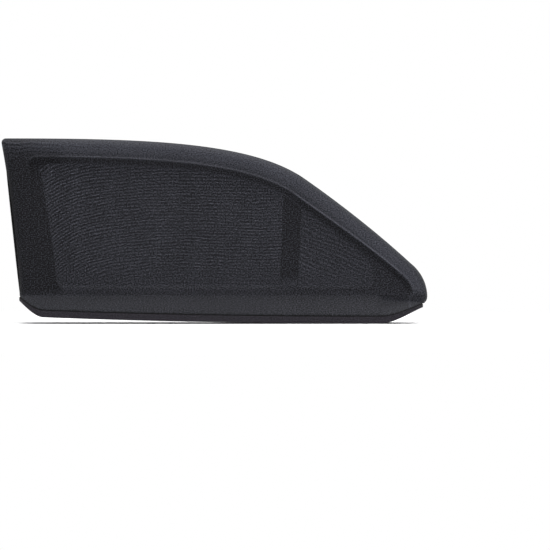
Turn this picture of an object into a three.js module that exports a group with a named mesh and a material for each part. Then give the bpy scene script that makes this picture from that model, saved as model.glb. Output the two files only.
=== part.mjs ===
import * as THREE from "three";
import { mergeVertices } from "three/addons/utils/BufferGeometryUtils.js";

// Side window sunshade: a sleeve of stretch mesh, shown in the stretched form that it has in use.
// Two mesh panels, one on the cabin side and one on the street side, are joined by a bound seam
// along the front edge, the roof edge and the rear slope. The open bottom has a folded hem with a
// flat elastic in it.
// Millimetres. X runs from the sleeve's front to its rear, Y from the cabin to the street, Z up.
// The origin is the middle of the hem opening, level with the lowest point of the hem.

// Outline of the sleeve, seen along Y
const overallLength = 950;
const overallHeight = 410;
const frontLean = 42;
const frontBow = 4.5;
const roofCornerRadius = 10;
const slopeStartFromRear = 270;
const slopeStartDrop = 92;
const slopeEndFromRear = 36;
const slopeEndHeight = 131;
const tipHeight = 58;

// Hem line
const hemHeight = 16;
const hemEndHeight = 7.5;
const hemFrontEndRise = 49;
const hemFrontCornerRise = 13;
const hemFrontCornerRun = 62;
const hemRearEndRise = 34;
const hemRearEndFromTip = 10;
const hemRearCornerRun = 96;

// Cloth and elastic
const meshThickness = 0.8;
const casingThickness = 0.8;
const elasticHeight = 5;
const clothGap = 0.3;
const bindingThickness = 2.4;
const bindingDepth = 6;
const bindingProud = 1.4;

// Form of the stretched mesh: a rounded rim, a fine lip on its inner edge, a recess inside the lip
// and two slightly deeper fields with a raised band between them
const edgeRoll = 18;
const lipInset = 40.5;
const lipInsetAtTip = 30;
const lipFrontInset = 51;
const lipCornerRadius = 24;
const lipWidth = 2.2;
const lipDrop = 14;
const lipFade = 150;
const tipSmoothing = 60;
const fieldInset = 57;
const fieldFrontInset = 86;
const fieldFrontLean = 13;
const fieldRearFromTip = 120;
const fieldCornerRadius = 14;
const fieldStep = 7;
const sillHeight = 80;
const creaseHeight = 61;
const dividerFromRear = 308;
const dividerLean = 14;
const dividerWidth = 41;
const dividerSoftness = 8;
const barrel = 6;
const cabin = { way: -1, frameDepth: 21, lipRise: 2.4, recessDepth: 15.5, fieldDepth: 13, hemDepth: 62 };
const street = { way: 1, frameDepth: 19, lipRise: 0.8, recessDepth: 15, fieldDepth: 13, hemDepth: 42 };

// Fineness of the facets
const cornerSteps = 7;
const tipSteps = 8;
const outlineSamples = 90;
const ribSamples = 24;
const bindingSteps = 15;

const colours = { mesh: 0x2e2f33, casing: 0x2b2a2f, binding: 0x37383d, elastic: 0x1d1d20 };

const frontX = -overallLength / 2;
const rearX = overallLength / 2;
const seamHalf = bindingThickness / 2 + clothGap;
const { smoothstep, lerp, clamp } = THREE.MathUtils;

// Front edge, from the hem up to the roof corner
const frontFoot = new THREE.Vector2(frontX + frontLean, hemFrontEndRise + hemEndHeight);
const roofCorner = new THREE.Vector2(frontX, overallHeight);
const frontDirection = roofCorner.clone().sub(frontFoot).normalize();
const frontInward = new THREE.Vector2(frontDirection.y, -frontDirection.x);
const cornerCut = 1 - Math.SQRT1_2;
const cornerMiddle = roofCorner.clone().add(
  new THREE.Vector2(roofCornerRadius * cornerCut * 1.05, -roofCornerRadius * cornerCut),
);
const cornerFoot = roofCorner.clone().addScaledVector(frontDirection, -roofCornerRadius);
const frontMiddle = frontFoot.clone().lerp(cornerFoot, 0.5).addScaledVector(frontInward, 2 * frontBow);
const frontEdge = new THREE.CurvePath();
frontEdge.add(new THREE.QuadraticBezierCurve(frontFoot, frontMiddle, cornerFoot));
frontEdge.add(
  new THREE.QuadraticBezierCurve(
    cornerFoot,
    cornerFoot.clone().addScaledVector(frontDirection, 0.45 * roofCornerRadius),
    cornerMiddle,
  ),
);

// Roof edge, rear slope and tip, from the roof corner down to the rear end of the seam
const slopeStart = new THREE.Vector2(rearX - slopeStartFromRear, overallHeight - slopeStartDrop);
const slopeEnd = new THREE.Vector2(rearX - slopeEndFromRear, slopeEndHeight);
const tip = new THREE.Vector2(rearX, tipHeight);
const rearFoot = new THREE.Vector2(rearX - hemRearEndFromTip, hemRearEndRise + hemEndHeight + clothGap);
const cornerHead = new THREE.Vector2(frontX + roofCornerRadius, overallHeight);
const slope = slopeEnd.clone().sub(slopeStart);
const roofEdge = new THREE.CurvePath();
roofEdge.add(
  new THREE.QuadraticBezierCurve(
    cornerMiddle,
    new THREE.Vector2(cornerHead.x - 0.45 * roofCornerRadius, overallHeight),
    cornerHead,
  ),
);
roofEdge.add(
  new THREE.CubicBezierCurve(
    cornerHead,
    new THREE.Vector2(lerp(cornerHead.x, slopeStart.x, 0.47), overallHeight),
    slopeStart.clone().addScaledVector(slope, -0.5).setY(overallHeight - 0.08 * slopeStartDrop),
    slopeStart,
  ),
);
roofEdge.add(
  new THREE.CubicBezierCurve(
    slopeStart,
    slopeStart.clone().add(new THREE.Vector2(0.32 * slope.x, 0.28 * slope.y)),
    slopeStart.clone().add(new THREE.Vector2(0.68 * slope.x, 0.63 * slope.y)),
    slopeEnd,
  ),
);
roofEdge.add(
  new THREE.CubicBezierCurve(
    slopeEnd,
    slopeEnd.clone().addScaledVector(slope, 0.1),
    tip.clone().lerp(new THREE.Vector2(tip.x, slopeEnd.y), 0.37),
    tip,
  ),
);

// Underside of the tip, where the seam runs from the tip to the hem
const rearEdge = new THREE.QuadraticBezierCurve(
  tip,
  new THREE.Vector2(tip.x, lerp(tip.y, rearFoot.y, 0.6)),
  rearFoot,
);

function pointsAlong(curve, count) {
  return Array.from({ length: count + 1 }, (_, i) => curve.getPointAt(i / count));
}

const frontSamples = pointsAlong(frontEdge, outlineSamples);
const roofSamples = [...pointsAlong(roofEdge, 3 * outlineSamples), ...pointsAlong(rearEdge, 12)];

// Distance from a point to a chain of straight pieces
function distanceTo(chain, x, z) {
  let least = Infinity;
  for (let i = 1; i < chain.length; i++) {
    const a = chain[i - 1];
    const b = chain[i];
    const run = (b.x - a.x) ** 2 + (b.y - a.y) ** 2;
    const t = run > 0 ? clamp(((x - a.x) * (b.x - a.x) + (z - a.y) * (b.y - a.y)) / run, 0, 1) : 0;
    least = Math.min(least, Math.hypot(x - lerp(a.x, b.x, t), z - lerp(a.y, b.y, t)));
  }
  return least;
}

function distanceToFront(x, z) {
  return z < frontFoot.y ? Math.abs(x - frontFoot.x) : distanceTo(frontSamples, x, z);
}

// Quarter-round profile: 0 at the edge, 1 from the given radius inwards
function roll(distance, radius) {
  const left = 1 - Math.min(distance / radius, 1);
  return Math.sqrt(1 - left * left);
}

// Least of the given distances, with the corners between them rounded
function roundedLeast(radius, distances) {
  const shortfalls = distances.map((distance) => Math.max(radius - distance, 0));
  return Math.min(radius - Math.hypot(...shortfalls), ...distances);
}

function lipInsetAt(x) {
  return lerp(lipInset, lipInsetAtTip, smoothstep(x, slopeStart.x, rearX));
}

function shareAboveSill(z) {
  return (z - sillHeight) / (overallHeight - sillHeight);
}

function dividerCentre(z) {
  return rearX - dividerFromRear + dividerLean * shareAboveSill(z);
}

// Distance of the front field's front edge from the sleeve's front edge, less towards the roof
function fieldFrontInsetAt(z) {
  return fieldFrontInset - fieldFrontLean * shareAboveSill(z);
}

// Depth of the stretched mesh above the crease, away from the middle plane
function frameDepth(side, x, z) {
  const roofDistance = distanceTo(roofSamples, x, z);
  const frontDistance = distanceToFront(x, z);
  const edge = Math.min(roofDistance, frontDistance);
  const rim = lerp(seamHalf, side.frameDepth, roll(edge, edgeRoll));
  const insideLip = roundedLeast(lipCornerRadius, [
    roofDistance - lipInsetAt(x),
    frontDistance - lipFrontInset,
  ]);
  const fade = smoothstep(roofDistance, lipInset, lipFade);
  const fadeShare = fade * (1 - smoothstep(frontDistance, lipFrontInset, 2 * lipFrontInset));
  const clearOfTip = smoothstep(Math.hypot(x - tip.x, z - tip.y), edgeRoll, tipSmoothing);
  const bead = side.lipRise * (1 - fadeShare) * clearOfTip * Math.exp(-((insideLip / lipWidth) ** 2));
  const drop = lerp(lipDrop, fieldFrontInset - lipFrontInset, fadeShare);
  const recessShare = clearOfTip * smoothstep(insideLip, 0, drop);
  const recessed = lerp(rim + bead, side.recessDepth, recessShare);
  const insideField = roundedLeast(fieldCornerRadius, [
    roofDistance - fieldInset,
    frontDistance - fieldFrontInsetAt(z),
    z - sillHeight,
    rearX - fieldRearFromTip - x,
  ]);
  const clearOfDivider = Math.abs(x - dividerCentre(z)) - dividerWidth / 2;
  const fieldShare = smoothstep(insideField, -fieldStep / 2, fieldStep / 2);
  const glazed = fieldShare * smoothstep(clearOfDivider, -dividerSoftness / 2, dividerSoftness / 2);
  return lerp(recessed, side.fieldDepth, glazed);
}

// Shift of both panels towards the street, as the stretched sleeve is curved like a barrel
function barrelShift(z) {
  const share = clamp((z - creaseHeight) / (overallHeight - creaseHeight), 0, 1);
  return 4 * barrel * share * (1 - share);
}

// Columns of the mesh, from the front edge to the rear tip. Each has its place along the hem and
// along the roof edge, and a turn that is 0 at the hem's two ends and 1 on its straight length.
const hemFrontX = frontFoot.x;
const hemRearX = rearFoot.x;
const roofLength = roofEdge.getLength();
const columns = [];

function roofPlaceAtX(x) {
  let low = 0;
  let high = 1;
  while (high - low > 1e-7) {
    const middle = (low + high) / 2;
    if (roofEdge.getPointAt(middle).x < x) low = middle;
    else high = middle;
  }
  return low;
}

const roofCornerRun = lipFrontInset - 3 * lipWidth;
for (let i = 0; i <= cornerSteps; i++) {
  const turn = i / cornerSteps;
  const inward = 1 - Math.cos((turn * Math.PI) / 2);
  columns.push({
    hemX: hemFrontX + hemFrontCornerRun * inward,
    roofPlace: i === 0 ? 0 : roofPlaceAtX(lerp(cornerMiddle.x, frontX + roofCornerRun, inward)),
    turn,
    endRise: hemFrontEndRise,
  });
}

// Lines that a column follows, as [x at the hem, x at the roof edge, columns up to it]
const fieldFrontEdge = fieldFrontInset - fieldStep / 2;
const fieldRearX = rearX - fieldRearFromTip;
const dividerHalf = dividerWidth / 2;
const dividerFoot = dividerCentre(0);
const dividerHead = dividerCentre(overallHeight - slopeStartDrop);

function besideFront(inset, steps, lean = 0) {
  const share = Math.min((inset - roofCornerRun) / (fieldFrontEdge - roofCornerRun), 1);
  const hemInset = lerp(hemFrontCornerRun, fieldFrontEdge, share) + Math.max(inset - fieldFrontEdge, 0);
  return [hemFrontX + hemInset, frontX + inset - lean, steps];
}

function besideDivider(offset, steps) {
  return [dividerFoot + offset, dividerHead + offset, steps];
}

function besideTip(offset, steps) {
  return [fieldRearX + offset, fieldRearX + offset, steps];
}

const featureLines = [
  besideFront(lipFrontInset - lipWidth, 1),
  besideFront(lipFrontInset, 1),
  besideFront(lipFrontInset + lipWidth, 1),
  besideFront(lipFrontInset + lipDrop, 2),
  besideFront(fieldFrontEdge, 1, fieldFrontLean),
  besideFront(fieldFrontEdge + fieldStep, 1, fieldFrontLean),
  besideFront(fieldFrontInset + 2 * fieldCornerRadius, 2, fieldFrontLean),
  besideDivider(-dividerHalf - dividerSoftness / 2, 10),
  besideDivider(-dividerHalf + dividerSoftness / 2, 1),
  besideDivider(dividerHalf - dividerSoftness / 2, 1),
  besideDivider(dividerHalf + dividerSoftness / 2, 1),
  besideTip(-2 * fieldCornerRadius, 4),
  besideTip(-fieldStep / 2, 2),
  besideTip(fieldStep / 2, 1),
];
const straight = { turn: 1, endRise: 0 };

function addColumnsTo(hemX, roofPlace, steps) {
  const last = columns[columns.length - 1];
  for (let i = 1; i <= steps; i++) {
    const share = i / steps;
    columns.push({
      hemX: lerp(last.hemX, hemX, share),
      roofPlace: lerp(last.roofPlace, roofPlace, share),
      ...straight,
    });
  }
}

for (const [hemX, roofX, steps] of featureLines) {
  addColumnsTo(hemX, roofPlaceAtX(roofX), steps);
}
const tipRun = roofLength * (1 - roofPlaceAtX(rearX - fieldRearFromTip / 2));
addColumnsTo(hemRearX - hemRearCornerRun, 1 - tipRun / roofLength, 1);
for (let i = 1; i <= tipSteps; i++) {
  const turn = 1 - i / tipSteps;
  columns.push({
    hemX: hemRearX - hemRearCornerRun * (1 - Math.cos((turn * Math.PI) / 2)),
    roofPlace: 1 - (tipRun * turn ** 1.3) / roofLength,
    turn,
    endRise: hemRearEndRise,
  });
}

// Height of the hem's lower edge above the lowest point, and its width from there up
const straightLength = hemRearX - hemRearCornerRun - hemFrontX - hemFrontCornerRun;
for (const column of columns) {
  const share = clamp((column.hemX - hemFrontX - hemFrontCornerRun) / straightLength, 0, 1);
  const sweep = smoothstep(column.turn ** 1.4, 0, 1);
  column.rise = lerp(column.endRise, hemFrontCornerRise * (1 - share) ** 2.2, sweep);
  column.height = lerp(hemEndHeight, hemHeight, sweep);
}
const lastColumn = columns.length - 1;

// The hem's lower edge as a closed loop in plan: along the cabin side, then back along the street side
function hemPlace(side, column) {
  const depth = lerp(seamHalf, side.hemDepth, Math.sin((column.turn * Math.PI) / 2));
  return new THREE.Vector2(column.hemX, side.way * depth);
}

const hemLoop = [
  ...columns.map((column) => ({ column, place: hemPlace(cabin, column) })),
  ...[...columns].reverse().map((column) => ({ column, place: hemPlace(street, column) })),
];
hemLoop.forEach((station, i) => {
  const before = hemLoop[(i + hemLoop.length - 1) % hemLoop.length].place;
  const after = hemLoop[(i + 1) % hemLoop.length].place;
  const into = station.place.clone().sub(before).normalize();
  const out = after.clone().sub(station.place).normalize();
  const outward = new THREE.Vector2(into.y + out.y, -into.x - out.x).normalize();
  const mitre = 1 / (outward.x * out.y - outward.y * out.x);
  station.outward = outward.multiplyScalar(mitre);
});

function hemStation(side, j) {
  return side === cabin ? hemLoop[j] : hemLoop[hemLoop.length - 1 - j];
}

// Rows of one column, from the hem's slot up to the roof edge. The low ones keep their heights and
// the high ones their distances from the roof edge, and both close up where the sleeve is low.
const elasticFoot = casingThickness + clothGap;
const slotFoot = elasticFoot + elasticHeight + clothGap;
const flareRows = [0, 0.25, 0.5, 0.75, 1];
const sillRows = [sillHeight - fieldStep / 2, sillHeight + fieldStep / 2, sillHeight + 2 * fieldStep];
const middleRows = 6;
const rollRows = 4;

function ribPoint(j, share) {
  const column = columns[j];
  if (j === 0) return frontEdge.getPointAt(share);
  if (j === lastColumn) return rearEdge.getPointAt(1 - share);
  const foot = new THREE.Vector2(column.hemX, column.rise + column.height + clothGap);
  return foot.lerp(roofEdge.getPointAt(column.roofPlace), share);
}

// Share of a rib, counted from its foot, at which it lies so far from the roof edge
function shareAtDistance(j, distance, deepest) {
  let near = 1;
  let far = deepest;
  while (near - far > 1e-6) {
    const middle = (near + far) / 2;
    const point = ribPoint(j, middle);
    if (distanceTo(roofSamples, point.x, point.y) < distance) near = middle;
    else far = middle;
  }
  return near;
}

function columnShares(j) {
  const foot = ribPoint(j, 0);
  const head = ribPoint(j, 1);
  const flareHeights = flareRows.map((share) => share * (creaseHeight - foot.y));
  const lowHeights = [...flareHeights, ...sillRows.map((z) => z - foot.y)];
  const lowFit = Math.min(1 / (head.y - foot.y), 0.45 / lowHeights[lowHeights.length - 1]);
  const low = lowHeights.map((height) => height * lowFit);
  const lip = lipInsetAt(head.x);
  const fieldDistances = [fieldInset + fieldStep, fieldInset];
  const lipDistances = [lip + lipDrop / 2, lip + lipWidth, lip, lip - lipWidth, (lip + edgeRoll) / 2];
  const highDistances = [...fieldDistances, ...lipDistances];
  for (let i = 0; i < rollRows; i++) {
    highDistances.push(edgeRoll * (1 - Math.sin(((i / rollRows) * Math.PI) / 2)));
  }
  const lowEnd = low[low.length - 1];
  const samples = Array.from({ length: ribSamples + 1 }, (_, i) => lerp(1, lowEnd, i / ribSamples));
  const reaches = samples.map((share) => {
    const point = ribPoint(j, share);
    return distanceTo(roofSamples, point.x, point.y);
  });
  const reach = Math.max(...reaches);
  const deepest = samples[reaches.indexOf(reach)];
  const highFit = Math.min(1, (0.8 * reach) / highDistances[0]);
  const high = highDistances.map((distance) => shareAtDistance(j, distance * highFit, deepest));
  const middle = [];
  for (let i = 1; i < middleRows; i++) {
    middle.push(lerp(lowEnd, high[0], i / middleRows));
  }
  return [...low, ...middle, ...high, 1];
}

const shares = columns.slice(0, -1).map((_, j) => columnShares(j));
shares.push(shares[lastColumn - 1]);

// Middle surface of one panel as columns of 3-D points, each with the slot's row first
function panelGrid(side) {
  return columns.map((column, j) => {
    const hem = hemStation(side, j).place;
    const points = shares[j].map((share) => ribPoint(j, share));
    const foot = points[0].y;
    const crease = points[flareRows.length - 1].y;
    const slot = new THREE.Vector3(hem.x, hem.y, column.rise + slotFoot);
    const upper = points.map((point, i) => {
      const shift = barrelShift(point.y);
      const fall = clamp((crease - point.y) / (crease - foot), 0, 1);
      const flare = lerp(fall, smoothstep(fall, 0, 1), 0.4);
      const onSeam = j === 0 || j === lastColumn || i === points.length - 1;
      const framed = onSeam ? seamHalf : frameDepth(side, point.x, point.y);
      const depth = lerp(framed, Math.abs(hem.y), flare);
      return new THREE.Vector3(point.x, side.way * depth + shift, point.y);
    });
    return [slot, ...upper];
  });
}

// Outward normals of the middle surface, flat against the seam and upright in the hem's slot
function panelNormals(side, grid) {
  const rows = grid[0].length;
  return grid.map((line, j) =>
    line.map((_, i) => {
      if (i <= 1) {
        const { outward } = hemStation(side, j);
        return new THREE.Vector3(outward.x, outward.y, 0);
      }
      const along = grid[Math.min(j + 1, lastColumn)][i].clone().sub(grid[Math.max(j - 1, 0)][i]);
      const up = grid[j][Math.min(i + 1, rows - 1)].clone().sub(grid[j][i - 1]);
      const normal = along.cross(up).multiplyScalar(-side.way);
      if (j === 0 || j === lastColumn || i === rows - 1) normal.y = 0;
      return normal.normalize();
    }),
  );
}

// Closed solid between two grids of points that have the same rows and columns
function solidBetween(outer, inner) {
  const end = outer.length - 1;
  const rows = outer[0].length;
  const positions = [...outer.flat(), ...inner.flat()].flatMap((point) => point.toArray());
  const innerStart = outer.length * rows;
  const index = [];
  const quad = (a, b, c, d) => index.push(a, b, c, a, c, d);
  const out = (j, i) => j * rows + i;
  const inn = (j, i) => innerStart + j * rows + i;
  for (let j = 0; j < end; j++) {
    for (let i = 0; i < rows - 1; i++) {
      quad(out(j, i), out(j + 1, i), out(j + 1, i + 1), out(j, i + 1));
      quad(inn(j, i), inn(j, i + 1), inn(j + 1, i + 1), inn(j + 1, i));
    }
    const top = rows - 1;
    quad(inn(j, 0), inn(j + 1, 0), out(j + 1, 0), out(j, 0));
    quad(out(j, top), out(j + 1, top), inn(j + 1, top), inn(j, top));
  }
  for (let i = 0; i < rows - 1; i++) {
    quad(out(0, i), out(0, i + 1), inn(0, i + 1), inn(0, i));
    quad(out(end, i + 1), out(end, i), inn(end, i), inn(end, i + 1));
  }
  return geometryFrom(positions, index);
}

function geometryFrom(positions, index) {
  const geometry = new THREE.BufferGeometry();
  geometry.setAttribute("position", new THREE.Float32BufferAttribute(positions, 3));
  geometry.setIndex(index);
  const merged = mergeVertices(geometry, 1e-4);
  merged.computeVertexNormals();
  return merged;
}

function meshPanel(side) {
  const grid = panelGrid(side);
  const normals = panelNormals(side, grid);
  const shifted = (distance) =>
    grid.map((line, j) => line.map((point, i) => point.clone().addScaledVector(normals[j][i], distance)));
  const outer = shifted(meshThickness / 2);
  const inner = shifted(-meshThickness / 2);
  return side === cabin ? solidBetween(outer, inner) : solidBetween(inner, outer);
}

// Sweeps a closed section along the hem loop. Each corner is [out from the loop, share of the
// hem's height, plus so many millimetres].
function hemRing(section) {
  const rings = hemLoop.map(({ column, place, outward }) =>
    section.map(([out, share, plus]) => {
      const z = column.rise + share * column.height + plus;
      return new THREE.Vector3(place.x + out * outward.x, place.y + out * outward.y, z);
    }),
  );
  const count = section.length;
  const positions = rings.flat().flatMap((point) => point.toArray());
  const index = [];
  rings.forEach((_, j) => {
    const here = j * count;
    const next = ((j + 1) % rings.length) * count;
    for (let i = 0; i < count; i++) {
      const k = (i + 1) % count;
      index.push(here + i, next + i, next + k, here + i, next + k, here + k);
    }
  });
  return geometryFrom(positions, index);
}

// Folded hem: an outer leg, a rounded fold at the bottom and an inner leg, with the slot between
function hemCasing() {
  const slot = meshThickness / 2 + clothGap;
  const skin = slot + casingThickness;
  const bend = 0.45 * skin;
  return hemRing([
    [skin, 0, bend],
    [skin, 1, 0],
    [slot, 1, 0],
    [slot, 0, casingThickness],
    [-slot, 0, casingThickness],
    [-slot, 1, 0],
    [-skin, 1, 0],
    [-skin, 0, bend],
    [-skin + bend, 0, 0],
    [skin - bend, 0, 0],
  ]);
}

function hemElastic() {
  const half = meshThickness / 2;
  const top = elasticFoot + elasticHeight;
  return hemRing([
    [half, 0, elasticFoot],
    [half, 0, top],
    [-half, 0, top],
    [-half, 0, elasticFoot],
  ]);
}

// Bound seam: the seam allowances of both panels under a narrow tape, standing into the sleeve
// and a little proud of it
function edgeBinding() {
  const frontStart = bindingDepth / 2 / frontEdge.getLength();
  const frontEnd = 1 - roofCornerRadius / 2 / frontEdge.getLength();
  const rearEnd = 1 - bindingDepth / 2 / rearEdge.getLength();
  const frontPath = Array.from({ length: bindingSteps + 1 }, (_, i) =>
    frontEdge.getPointAt(lerp(frontStart, frontEnd, i / bindingSteps)),
  );
  const path = [
    ...frontPath,
    cornerMiddle.clone(),
    ...columns.slice(2).map((column) => roofEdge.getPointAt(column.roofPlace)),
    ...[0.35, 0.7, 1].map((share) => rearEdge.getPointAt(share * rearEnd)),
  ];
  const rings = path.map((point, i) => {
    const before = path[Math.max(i - 1, 0)];
    const after = path[Math.min(i + 1, path.length - 1)];
    const tangent = after.clone().sub(before).normalize();
    const inward = new THREE.Vector2(tangent.y, -tangent.x);
    const half = bindingThickness / 2;
    const corners = [
      [-bindingProud, -half],
      [-bindingProud, half],
      [bindingDepth, half],
      [bindingDepth, -half],
    ];
    return corners.map(([depth, y]) => {
      const x = point.x + depth * inward.x;
      const z = point.y + depth * inward.y;
      return new THREE.Vector3(x, y + barrelShift(point.y), z);
    });
  });
  const positions = rings.flat().flatMap((point) => point.toArray());
  const index = [];
  for (let j = 0; j < rings.length - 1; j++) {
    for (let i = 0; i < 4; i++) {
      const k = (i + 1) % 4;
      const here = 4 * j;
      const next = here + 4;
      index.push(here + i, next + i, next + k, here + i, next + k, here + k);
    }
  }
  const end = 4 * (rings.length - 1);
  index.push(0, 1, 2, 0, 2, 3, end, end + 2, end + 1, end, end + 3, end + 2);
  return geometryFrom(positions, index);
}

function cloth(color, roughness) {
  return new THREE.MeshStandardMaterial({ color, roughness, metalness: 0 });
}

function piece(name, geometry, material) {
  const mesh = new THREE.Mesh(geometry, material);
  mesh.name = name;
  return mesh;
}

const sunshade = new THREE.Group();
sunshade.name = "car_window_sunshade";
sunshade.add(piece("cabin_mesh_panel", meshPanel(cabin), cloth(colours.mesh, 0.85)));
sunshade.add(piece("street_mesh_panel", meshPanel(street), cloth(colours.mesh, 0.85)));
sunshade.add(piece("edge_seam_binding", edgeBinding(), cloth(colours.binding, 0.8)));
sunshade.add(piece("hem_casing", hemCasing(), cloth(colours.casing, 0.9)));
sunshade.add(piece("hem_elastic", hemElastic(), cloth(colours.elastic, 0.7)));

export default sunshade;
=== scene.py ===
"""Looks of a car side window sunshade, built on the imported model.

The sleeve's two mesh panels, its bound seam, its folded hem and the elastic in the hem are rebuilt
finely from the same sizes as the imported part, and stand for its nodes. The sleeve's sizes are in
millimetres, and the studio's are in metres.
"""

import logging
from collections.abc import Callable
from dataclasses import dataclass, field
from enum import Enum
from functools import partial, reduce

import bpy
import numpy as np
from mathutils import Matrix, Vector

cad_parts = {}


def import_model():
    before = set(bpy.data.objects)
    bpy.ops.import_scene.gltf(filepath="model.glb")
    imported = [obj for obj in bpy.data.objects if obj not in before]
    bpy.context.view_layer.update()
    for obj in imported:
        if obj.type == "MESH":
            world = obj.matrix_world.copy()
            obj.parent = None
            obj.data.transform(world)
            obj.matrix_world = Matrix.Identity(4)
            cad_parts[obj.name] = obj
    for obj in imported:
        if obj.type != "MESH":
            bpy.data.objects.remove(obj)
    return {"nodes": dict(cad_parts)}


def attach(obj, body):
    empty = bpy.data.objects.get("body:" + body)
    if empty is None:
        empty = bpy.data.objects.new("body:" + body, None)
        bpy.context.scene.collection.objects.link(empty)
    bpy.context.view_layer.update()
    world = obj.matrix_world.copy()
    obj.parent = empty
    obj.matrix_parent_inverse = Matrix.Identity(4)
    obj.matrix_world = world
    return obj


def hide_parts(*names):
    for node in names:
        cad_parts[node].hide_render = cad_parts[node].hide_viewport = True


log = logging.getLogger("sunshade")

Numbers = float | np.ndarray
Socket = bpy.types.NodeSocket
Sockets = bpy.types.bpy_prop_collection
Value = Socket | float

MM = 0.001

# Share of the hem's height at which its stitches lie, and the depth of their groove in mm
STITCH_HEIGHT = 0.82
GROOVE_DEPTH = 0.22

# How far a panel's edge reaches into the seam tape in mm, so that no light comes through
SEAM_OVERLAP = 0.05

# Specular level of all the cloth
CLOTH_SPECULAR = 0.12


class Surface(Enum):
    """Surfaces that take a finish of their own."""

    MESH = "mesh"
    BINDING = "binding"
    HEM = "hem"
    THREAD = "thread"
    ELASTIC = "elastic"


@dataclass(frozen=True)
class Side:
    """One side of the sleeve and the depths at which its mesh lies, in millimetres."""

    name: str
    way: float
    frame_depth: float
    lip_rise: float
    recess_depth: float
    field_depth: float
    hem_depth: float


@dataclass(frozen=True)
class SleeveSize:
    """Sizes of the sleeve in millimetres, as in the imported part."""

    length: float = 950.0
    height: float = 410.0
    front_lean: float = 42.0
    front_bow: float = 4.5
    roof_corner_radius: float = 10.0
    slope_start_from_rear: float = 270.0
    slope_start_drop: float = 92.0
    slope_end_from_rear: float = 36.0
    slope_end_height: float = 131.0
    tip_height: float = 58.0
    hem_height: float = 16.0
    hem_end_height: float = 7.5
    hem_front_end_rise: float = 49.0
    hem_front_corner_rise: float = 13.0
    hem_front_corner_run: float = 62.0
    hem_rear_end_rise: float = 34.0
    hem_rear_end_from_tip: float = 10.0
    hem_rear_corner_run: float = 96.0
    cloth: float = 0.8
    gap: float = 0.3
    elastic_height: float = 5.0
    binding_thickness: float = 2.4
    binding_depth: float = 6.0
    binding_proud: float = 1.4
    edge_roll: float = 18.0
    lip_inset: float = 40.5
    lip_inset_at_tip: float = 30.0
    lip_front_inset: float = 51.0
    lip_corner_radius: float = 24.0
    lip_width: float = 2.2
    lip_drop: float = 14.0
    lip_fade: float = 150.0
    tip_smoothing: float = 60.0
    field_inset: float = 57.0
    field_front_inset: float = 86.0
    field_front_lean: float = 13.0
    field_rear_from_tip: float = 120.0
    field_corner_radius: float = 14.0
    field_step: float = 7.0
    sill_height: float = 80.0
    crease_height: float = 61.0
    divider_from_rear: float = 308.0
    divider_lean: float = 14.0
    divider_width: float = 41.0
    divider_softness: float = 8.0
    barrel: float = 6.0

    @property
    def front_x(self) -> float:
        """Where the roof edge begins in X."""
        return -self.length / 2

    @property
    def rear_x(self) -> float:
        """Where the tip ends in X."""
        return self.length / 2

    @property
    def seam_half(self) -> float:
        """Distance of a panel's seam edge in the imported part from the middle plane."""
        return self.binding_thickness / 2 + self.gap

    @property
    def elastic_foot(self) -> float:
        """Height of the elastic's lower edge above the hem's."""
        return self.cloth + self.gap

    @property
    def slot_foot(self) -> float:
        """Height at which the mesh ends inside the hem."""
        return self.elastic_foot + self.elastic_height + self.gap


CABIN = Side("cabin", -1.0, 21.0, 2.4, 15.5, 13.0, 62.0)
STREET = Side("street", 1.0, 19.0, 0.8, 15.0, 13.0, 42.0)


@dataclass(frozen=True)
class ToneShares:
    """Shares by which zones of the mesh are darker or, where it says so, lighter than its colour. The rim's
    and the lip's highlights, the shade below the lip, the light and shade on the corner folds and the line
    at the hem are painted light and shade.
    """

    front_band: float = 0.56
    # Painted shade in the recess just below the lip
    painted_shade_below_lip: float = 0.42
    divider: float = 0.46
    below_crease: float = 0.14
    rear_corner: float = 0.2
    rear_field_lighter: float = 0.06
    # Painted highlight on the rim, weaker near the front corner, and painted shade at its seam and lip
    # edges
    rim_painted_highlight: float = 0.92
    rim_painted_highlight_at_front: float = 0.15
    rim_painted_shade_at_seam: float = 0.3
    rim_painted_shade_at_lip: float = 0.34
    # Painted highlight along the lip's ridge, stronger behind the divider
    lip_painted_highlight: float = 0.5
    rear_lip_painted_highlight: float = 1.3
    # Painted light and shade on the fine folds near the front roof corner
    corner_folds: float = 0.32
    # Painted shade line on the mesh just above the hem
    hem_painted_shade_line: float = 0.93


@dataclass(frozen=True)
class ToneSpans:
    """Spans in millimetres over which the zones of the mesh come in, from a line or a height."""

    field_edge: tuple = (-1.5, 1.5)
    divider_above_sill: tuple = (6.0, 28.0)
    rear_from_divider: tuple = (0.0, 8.0)
    within_lip: tuple = (-0.5, 2.0)
    lip_shade_end: tuple = (9.0, 17.0)
    front_band_from_roof: tuple = (12.0, 60.0)
    front_band_end: tuple = (120.0, 150.0)
    lit_from_front: tuple = (20.0, 150.0)
    seam_shade_end: tuple = (4.0, 16.0)
    lip_side_of_rim: tuple = (22.0, 37.0)
    # Width of the painted highlight line on the lip's ridge
    lip_line: float = 2.0
    # Width of the painted shade line on the mesh just above the hem
    hem_painted_shade_line: float = 2.0


@dataclass(frozen=True)
class StreakRun:
    """Run and strength of the streaks over the two fields, with lengths in millimetres."""

    pitch: float = 6.9
    sway: float = 0.3
    sway_length: float = 60.0
    bend_at_sill: float = 10.0
    bend_at_roof: float = 6.5
    bend_reach: float = 75.0
    rear_pitch: float = 9.5
    rear_slant: float = 0.42
    rear_blend: float = 5.0
    front_strength: float = 0.8
    rear_strength: float = 0.58
    low_fade: float = 0.45
    low_fade_heights: tuple = (95.0, 135.0)
    near_front: float = 1.15
    far_from_front: float = 0.8
    front_fade: tuple = (40.0, 200.0)


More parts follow.
